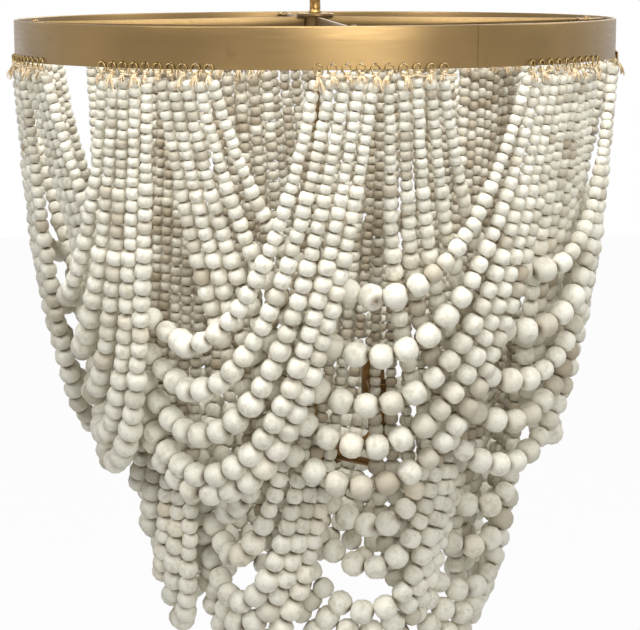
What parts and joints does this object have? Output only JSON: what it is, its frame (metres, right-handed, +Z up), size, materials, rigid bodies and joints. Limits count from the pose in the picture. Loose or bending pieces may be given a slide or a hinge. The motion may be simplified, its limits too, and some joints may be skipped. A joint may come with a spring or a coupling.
{
  "type": "beaded chandelier",
  "caption": "Chandelier with a wide brass band and tiers of woven swags of whitewashed wooden beads, on a stem, chain and canopy.",
  "frame": {"origin": "on the stem axis at the ceiling, on the upper face of the ceiling bar", "axes": "+Z up, -Y towards the viewer of the picture, +X to the right"},
  "size_m": [0.6131, 0.6151, 0.8637],
  "materials": {
    "satin_brass": "satin, lightly aged",
    "aged_bronze": "dark bronze paint, satin",
    "steel": "zinc plated",
    "black_insert": "matte black",
    "white_wood": "whitewashed, matte, blotchy",
    "twine": "natural jute"
  },
  "bodies": {
    "ceiling_mount": {"ceiling_bar": "steel", "bar_screw_1": "steel", "bar_screw_2": "steel", "canopy_loop": "satin_brass"},
    "canopy": {"canopy": "satin_brass", "canopy_collar": "satin_brass"},
    "chain_1": {"chain_link_1": "satin_brass"},
    "chain_2": {"chain_link_2": "satin_brass"},
    "chain_3": {"chain_link_3": "satin_brass"},
    "fixture": {"stem_loop": "satin_brass", "upper_stem": "satin_brass", "top_hub": "satin_brass", "top_spoke_1": "satin_brass", "top_spoke_2": "satin_brass", "top_spoke_3": "satin_brass", "top_spoke_4": "satin_brass", "spoke_screw_1": "satin_brass", "spoke_screw_2": "satin_brass", "spoke_screw_3": "satin_brass", "spoke_screw_4": "satin_brass", "top_band": "satin_brass", "centre_tube": "satin_brass", "lower_hoop": "satin_brass", "lower_hub": "satin_brass", "lower_spoke_1": "satin_brass", "lower_spoke_2": "satin_brass", "lower_spoke_3": "satin_brass", "lower_spoke_4": "satin_brass", "lamp_hub": "aged_bronze", "lamp_arm_1": "aged_bronze", "lamp_arm_2": "aged_bronze", "lamp_arm_3": "aged_bronze", "lamp_arm_4": "aged_bronze", "socket_cup_1": "aged_bronze", "socket_cup_2": "aged_bronze", "socket_cup_3": "aged_bronze", "socket_cup_4": "aged_bronze", "bottom_finial": "aged_bronze", "lamp_socket_1": "black_insert", "lamp_socket_2": "black_insert", "lamp_socket_3": "black_insert", "lamp_socket_4": "black_insert", "upper_swag_1": "white_wood", "upper_swag_2": "white_wood", "upper_swag_3": "white_wood", "upper_swag_4": "white_wood", "upper_swag_5": "white_wood", "upper_swag_6": "white_wood", "upper_swag_7": "white_wood", "upper_swag_8": "white_wood", "upper_swag_9": "white_wood", "upper_swag_10": "white_wood", "lower_swag_1": "white_wood", "lower_swag_2": "white_wood", "lower_swag_3": "white_wood", "lower_swag_4": "white_wood", "lower_swag_5": "white_wood", "lower_swag_6": "white_wood", "lower_swag_7": "white_wood", "lower_swag_8": "white_wood"}
  },
  "joints": [
    {"name": "canopy_slide", "type": "slide", "parent": "ceiling_mount", "child": "canopy", "axis": [0, 0, -1], "range_m": [0, 0.02]},
    {"name": "chain_1_swing", "type": "hinge", "parent": "ceiling_mount", "child": "chain_1", "pos_m": [0, 0, -0.0513], "axis": [1, 0, 0], "range_deg": [-15, 15]},
    {"name": "chain_2_swing", "type": "hinge", "parent": "chain_1", "child": "chain_2", "pos_m": [0, 0, -0.0793], "axis": [0, 1, 0], "range_deg": [-15, 15]},
    {"name": "chain_3_swing", "type": "hinge", "parent": "chain_2", "child": "chain_3", "pos_m": [0, 0, -0.1076], "axis": [1, 0, 0], "range_deg": [-15, 15]},
    {"name": "fixture_swing", "type": "hinge", "parent": "chain_3", "child": "fixture", "pos_m": [0, 0, -0.1359], "axis": [0, 1, 0], "range_deg": [-15, 15]}
  ]
}
